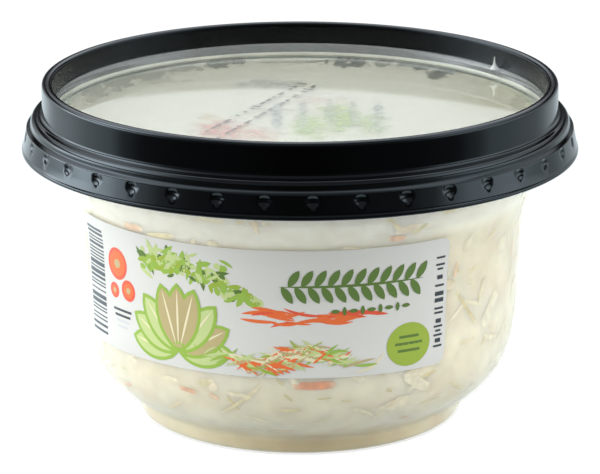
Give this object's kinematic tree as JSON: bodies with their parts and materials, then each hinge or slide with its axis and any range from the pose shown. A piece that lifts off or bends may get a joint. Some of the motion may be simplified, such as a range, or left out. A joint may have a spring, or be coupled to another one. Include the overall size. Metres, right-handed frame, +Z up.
{
  "type": "tub of coleslaw",
  "caption": "Coleslaw in a round translucent tub with a foot, a paper label, a sealing film and a black press-on lid with a recessed clear window.",
  "frame": {"origin": "centre of the flat that the tub stands on", "axes": "+Z up along the tub's axis, -Y the front, near the middle of the label"},
  "size_m": [0.118, 0.118, 0.073],
  "materials": {
    "tub_plastic": "translucent natural polypropylene, satin",
    "coleslaw": "moist shredded cabbage and carrot in creamy dressing",
    "dressing": "creamy dressing, wet",
    "clear_film": "clear sealing film, glossy",
    "lid_plastic": "black polypropylene, glossy",
    "clear_plastic": "clear moulded plastic, glossy",
    "label_paper": "coated white label with a plain printed design"
  },
  "bodies": {
    "root": {"tub": "tub_plastic", "coleslaw": "coleslaw", "film_dressing": "dressing", "seal_film": "clear_film", "lid": "lid_plastic", "lid_window": "clear_plastic", "label": "label_paper"}
  },
  "joints": []
}
